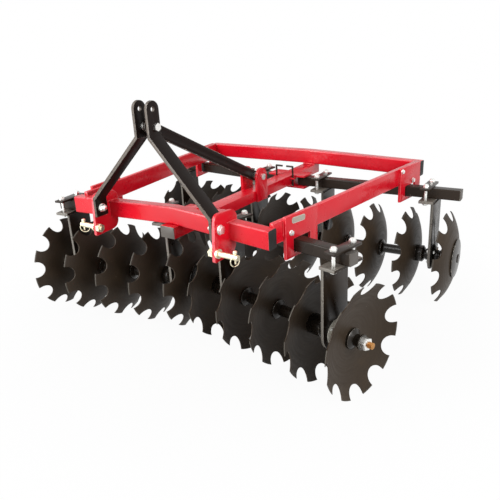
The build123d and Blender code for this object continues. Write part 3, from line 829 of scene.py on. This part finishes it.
def further_finishes(name):
    """The faces of a bar or plate that wear a finish of their own; on the red parts that finish
    is a painted highlight.
    """
    if name.endswith("_hitch_plate"):
        # The hitch plates' forward faces are lightened as a painted highlight where the front
        # light falls
        return {"front": (finishes["painted_highlight_red"], full_front)}
    if name.endswith("_mast_leg"):
        return {"front": (finishes["mast_edge"], cut_front)}
    # The cross bars' upper corners carry a painted highlight line
    if name in ("front_bar", "rear_bar"):
        return {"corner": (finishes["painted_highlight_red"], painted_highlight_corner)}
    return {}


for name, width, steps, slot in EASED:
    # Red parts' rounded edges wear the painted highlight, black parts' the worn edge
    edge = finishes["painted_highlight_red" if slot == "red" else "worn_edge"]
    ease_edges(name, "frame", width, slot, finish_of(name), edge, steps,
               **further_finishes(name))
ease_edges("tube_plugs", "frame", PLUG_EDGE, "black", finishes["plug_plastic"],
           finishes["plug_plastic"], centre=(finishes["cap_grey"], centre_cap),
           gangs=(finishes["gang_cap"], gang_bar_cap))
for row in HOLLOW:
    # The standards' upward faces wear a lighter grey as painted light from above
    ease_edges(f"{row}_standards", "frame", STANDARD_EDGE, "black", finishes["black_paint"],
               finishes["worn_edge"], cut=(finishes["cut_steel"], cut_side),
               top=(finishes["painted_light_top"], upper_side))
    for side in SIDES:
        ease_edges(f"{row}_{side}_spools", f"gang_{row}_{side}", SPOOL_EDGE, "black",
                   finishes["cast_black"], finishes["worn_edge"])


# Linch pins through the ends of the hitch pins, each with a round head and a wire ring
LINCH_FROM_END = 0.014
LINCH_R = 0.0038
LINCH_LONG = 0.048
LINCH_DOWN = 0.026
LINCH_HEAD = [(0, 0), (0, 0.007), (0.002, 0.0085), (0.010, 0.0085), (0.013, 0.006), (0.013, 0)]
LINCH_HEAD_UP = 0.0135
LINCH_RING_R = 0.021
LINCH_RING_DROP = 0.014
LINCH_WIRE_R = 0.0019


def make_linch_pin(side, sign, lean, turn):
    """One linch pin; its ring hangs with a lean and a turn in degrees."""
    low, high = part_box(f"{side}_hitch_pin")
    x = high.x - LINCH_FROM_END if sign > 0 else low.x + LINCH_FROM_END
    place = moved(x, (low.y + high.y) / 2, (low.z + high.z) / 2)
    ring = place @ Matrix.Rotation(math.radians(turn), 4, "Z")
    ring = ring @ Matrix.Rotation(math.radians(lean), 4, "Y")
    piece = Piece(f"{side}_linch_pin", "frame", finishes["yellow_zinc"])
    piece.add(round_bar(LINCH_R, LINCH_LONG), place @ moved(0, 0, -LINCH_DOWN))
    piece.add(turned(LINCH_HEAD), place @ moved(0, 0, LINCH_HEAD_UP))
    piece.add(wire_ring(LINCH_RING_R, LINCH_WIRE_R), ring @ moved(0, 0, -LINCH_RING_DROP))
    piece.place("yellow_zinc")


make_linch_pin("right", 1, lean=8, turn=74)
make_linch_pin("left", -1, lean=-10, turn=40)


# Bolts through the mast feet and the hitch plates
HITCH_BOLT_R = 0.0095


def make_hitch_bolts():
    """One bolt a side, its head on the hitch plate's outer face."""
    piece = Piece("hitch_bolts", "frame", finishes["bright_zinc"])
    for side, sign in (("right", 1), ("left", -1)):
        plate_low, plate_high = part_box(f"{side}_hitch_plate")
        leg_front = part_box(f"{side}_mast_leg")[0].y
        outer, inner = plate_high.x, plate_low.x
        if sign < 0:
            outer, inner = inner, outer
        grip = abs(outer - inner) + MAST_THICK
        origin = (outer, leg_front + MAST_FOOT_HALF, MAST_FOOT_Z)
        add_bolt(piece, facing(origin, (sign, 0, 0)), HITCH_BOLT_R, grip)
    piece.place("zinc")


make_hitch_bolts()


# A bare plate on the right front bracket
PLATE_Y = -0.4285
PLATE_Z = 0.6535
PLATE_LONG = 0.082
PLATE_HIGH = 0.024
PLATE_CORNER = 0.009
PLATE_THICK = 0.0012
PANEL_IN = 0.005
PANEL_THICK = 1.6 * PLATE_THICK
PLATE_TILT = math.radians(2.4)


def rail_place(y, z, out):
    """A place on the right rail's outer side, Z outward and Y rearward along the rail."""
    x = RAIL_X + RAIL_SPREAD * y + out
    turn = Matrix.Rotation(-math.atan(RAIL_SPREAD), 4, "Z")
    return moved(x, y, z) @ turn @ Matrix.Rotation(math.pi / 2, 4, "Y")


def rounded_plate(high, long, thick, corner):
    """A flat plate about the origin with its four corners rounded."""
    bm = bmesh.new()
    bmesh.ops.create_cube(bm, size=1.0, matrix=Matrix.Diagonal((high, long, 2 * thick, 1)))
    corners = [e for e in bm.edges if abs(e.verts[0].co.z - e.verts[1].co.z) > thick]
    bmesh.ops.bevel(bm, geom=corners, offset=corner, segments=5, profile=0.5, affect="EDGES",
                    material=-1)
    return bm


def make_blank_plate():
    """The plate and the raised bare panel on it."""
    piece = Piece("blank_plate", "frame", finishes["blank_plate"], finishes["cap_grey"])
    place = rail_place(PLATE_Y, PLATE_Z, BRACKET_THICK) @ Matrix.Rotation(-PLATE_TILT, 4, "Z")
    piece.add(rounded_plate(PLATE_HIGH, PLATE_LONG, PLATE_THICK, PLATE_CORNER), place)
    piece.add(rounded_plate(PLATE_HIGH - PANEL_IN, PLATE_LONG - PANEL_IN, PANEL_THICK,
                            PLATE_CORNER - PANEL_IN / 2), place, 1)
    piece.place(None)


make_blank_plate()


# Bolts through the corner brackets: y and z on the rails' outer sides
BRACKET_BOLTS = [(-0.476, 0.609), (0.394, 0.662), (0.506, 0.597)]
BRACKET_BOLT_R = 0.0058


def make_bracket_bolts():
    """The heads of the bracket bolts, right and left."""
    piece = Piece("bracket_bolts", "frame", finishes["bright_zinc"])
    for sign in (1, -1):
        for y, z in BRACKET_BOLTS:
            right = rail_place(y, z, BRACKET_THICK)
            origin = right.translation
            out = right.to_3x3() @ Vector((0, 0, 1))
            place = facing((sign * origin.x, origin.y, origin.z), (sign * out.x, out.y, out.z))
            add_bolt(piece, place, BRACKET_BOLT_R, roll=random.uniform(0, 1))
    piece.place("zinc")


make_bracket_bolts()


# Weld beads along the joints of the frame, the brackets and the standards
HITCH_WELD_FROM = 0.010
HITCH_WELD_TO = 0.075
HITCH_WELD_R = 0.0045
BRACKET_WELD_FROM = 0.075
BRACKET_WELD_TO = 0.018
STANDARD_WELD_HALF = 0.070
WELD_R = 0.004


def make_frame_welds():
    """Beads beside the hitch plates on the front bar, and down the corner brackets' ends."""
    piece = Piece("frame_welds", "frame", finishes["red_paint"])
    bar_low, bar_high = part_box("front_bar")
    plate_low, plate_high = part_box("right_hitch_plate")
    brackets = (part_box("front_corner_brackets"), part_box("rear_corner_brackets"))
    for sign in (1, -1):
        for x in (sign * plate_low.x, sign * plate_high.x):
            weld_bead(piece, (x, bar_low.y + HITCH_WELD_FROM, bar_high.z),
                      (x, bar_low.y + HITCH_WELD_TO, bar_high.z), HITCH_WELD_R)
        for low, high in brackets:
            for y in (low.y, high.y):
                x = sign * (RAIL_X + RAIL_SPREAD * y)
                weld_bead(piece, (x, y, high.z - BRACKET_WELD_FROM),
                          (x, y, high.z - BRACKET_WELD_TO), WELD_R)
    piece.place("red")


def make_standard_welds(row):
    """Beads on both faces of the standards, under their top plates."""
    piece = Piece(f"{row}_standard_welds", "frame", finishes["black_paint"])
    for side in SIDES:
        ground = on_ground(gangs[f"gang_{row}_{side}"])
        for x in bearing_places(HOLLOW[row]):
            for edge in (-1, 1):
                start, end = [ground @ Vector((x + edge * STANDARD_HALF, y, CLAMP_PLATE_BOTTOM))
                              for y in (-STANDARD_WELD_HALF, STANDARD_WELD_HALF)]
                weld_bead(piece, start, end, WELD_R)
    piece.place("black")


make_frame_welds()
for row in HOLLOW:
    make_standard_welds(row)


# Camera: fitted to the machine in the photograph, placed from the axis of the hitch pins
CAMERA_FROM_PINS = (1.62931, -1.55887, 1.33948)
CAMERA_TURN = math.radians(36.07)
CAMERA_DOWN = math.radians(21.09)
CAMERA_ROLL = math.radians(-3.01)
LENS_MM = 41.235
SENSOR_MM = 36.0


def make_camera():
    """The photograph's camera, from its turn, tilt and roll."""
    low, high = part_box("right_hitch_pin")
    forward = Vector((-math.sin(CAMERA_TURN) * math.cos(CAMERA_DOWN),
                      math.cos(CAMERA_TURN) * math.cos(CAMERA_DOWN), -math.sin(CAMERA_DOWN)))
    level = Vector((math.cos(CAMERA_TURN), math.sin(CAMERA_TURN), 0))
    up = level.cross(forward)
    x = level * math.cos(CAMERA_ROLL) + up * math.sin(CAMERA_ROLL)
    y = -level * math.sin(CAMERA_ROLL) + up * math.cos(CAMERA_ROLL)
    place = Matrix((x, y, -forward)).transposed().to_4x4()
    place.translation = Vector(CAMERA_FROM_PINS) + Vector((0, (low.y + high.y) / 2, 0))
    data = bpy.data.cameras.new("camera")
    data.lens = LENS_MM
    data.sensor_width = SENSOR_MM
    camera = bpy.data.objects.new("camera", data)
    camera.matrix_world = place
    bpy.context.scene.collection.objects.link(camera)
    bpy.context.scene.camera = camera


make_camera()


# White surroundings: their light on the machine, and a floor that is white with a faint shadow
WORLD_LIGHT = 0.36
FLOOR_SIZE = 40.0
FLOOR_TONE = 0.5
FLOOR_ROUGHNESS = 0.9
FLOOR_SHADOW = 0.05
SHADOW_NEAR = 0.7
SHADOW_FAR = 1.7


def maths_node(tree, operation, a, b):
    """A shader sum of two sockets."""
    made = tree.nodes.new("ShaderNodeMath")
    made.operation = operation
    tree.links.new(a, made.inputs[0])
    tree.links.new(b, made.inputs[1])
    return made.outputs[0]


def seen_as_white(tree):
    """1 for rays from the camera and for mirrored or passed rays, which see plain white."""
    path = tree.nodes.new("ShaderNodeLightPath").outputs
    seen = maths_node(tree, "MAXIMUM", path["Is Camera Ray"], path["Is Glossy Ray"])
    return maths_node(tree, "MAXIMUM", seen, path["Is Transmission Ray"])


def make_world():
    """White where it is seen, weaker where it lights."""
    world = bpy.data.worlds.new("white_surroundings")
    world.use_nodes = True
    bpy.context.scene.world = world
    tree = world.node_tree
    background = tree.nodes["Background"]
    background.inputs["Color"].default_value = (1, 1, 1, 1)
    strength = tree.nodes.new("ShaderNodeMapRange")
    strength.inputs["To Min"].default_value = WORLD_LIGHT
    strength.inputs["To Max"].default_value = 1.0
    tree.links.new(seen_as_white(tree), strength.inputs["Value"])
    tree.links.new(strength.outputs["Result"], background.inputs["Strength"])


def floor_material():
    """Grey where it sends light back, white where it is seen, a touch darker near the middle."""
    material = bpy.data.materials.new("floor")
    material.use_nodes = True
    tree = material.node_tree
    shader = tree.nodes["Principled BSDF"]
    shader.inputs["Base Color"].default_value = (FLOOR_TONE, FLOOR_TONE, FLOOR_TONE, 1)
    shader.inputs["Roughness"].default_value = FLOOR_ROUGHNESS
    shader.inputs["Specular IOR Level"].default_value = 0.0
    white = tree.nodes.new("ShaderNodeEmission")
    middle = tree.nodes.new("ShaderNodeVectorMath")
    middle.operation = "LENGTH"
    tree.links.new(tree.nodes.new("ShaderNodeTexCoord").outputs["Object"], middle.inputs[0])
    fade = tree.nodes.new("ShaderNodeMapRange")
    fade.interpolation_type = "SMOOTHSTEP"
    fade.inputs["From Min"].default_value = SHADOW_NEAR
    fade.inputs["From Max"].default_value = SHADOW_FAR
    fade.inputs["To Min"].default_value = 1 - FLOOR_SHADOW
    fade.inputs["To Max"].default_value = 1.0
    tree.links.new(middle.outputs["Value"], fade.inputs["Value"])
    share = maths_node(tree, "MULTIPLY", seen_as_white(tree), fade.outputs["Result"])
    both = tree.nodes.new("ShaderNodeMixShader")
    tree.links.new(share, both.inputs[0])
    tree.links.new(shader.outputs[0], both.inputs[1])
    tree.links.new(white.outputs[0], both.inputs[2])
    tree.links.new(both.outputs[0], tree.nodes["Material Output"].inputs["Surface"])
    return material


def make_floor():
    """A large flat floor under the discs."""
    bm = bmesh.new()
    bmesh.ops.create_grid(bm, x_segments=1, y_segments=1, size=FLOOR_SIZE / 2)
    mesh = bpy.data.meshes.new("floor")
    bm.to_mesh(mesh)
    bm.free()
    mesh.materials.append(floor_material())
    floor = bpy.data.objects.new("floor", mesh)
    bpy.context.scene.collection.objects.link(floor)


# Lamps: name, place, aim, size across, watts
LAMPS = [
    ("front_softbox", (-2.6, -6.0, 4.2), (0, 0.1, 0.45), 4.4, 390.0),
    ("low_softbox", (-1.9, -3.7, 0.45), (0, -0.3, 0.6), 1.9, 76.0),
    ("right_softbox", (3.8, -1.0, 2.0), (0.2, 0, 0.4), 2.2, 92.0),
    ("top_left_lamp", (-2.1, -1.9, 3.3), (0, 0, 0.5), 0.8, 34.0),
]


def make_lamps():
    """Square soft lamps, each turned to its aim."""
    for name, origin, aim, size, watts in LAMPS:
        data = bpy.data.lights.new(name, "AREA")
        data.shape = "SQUARE"
        data.size = size
        data.energy = watts
        lamp = bpy.data.objects.new(name, data)
        lamp.matrix_world = facing(origin, Vector(origin) - Vector(aim))
        bpy.context.scene.collection.objects.link(lamp)


make_world()
make_floor()
make_lamps()
bpy.context.scene.view_settings.view_transform = "Standard"
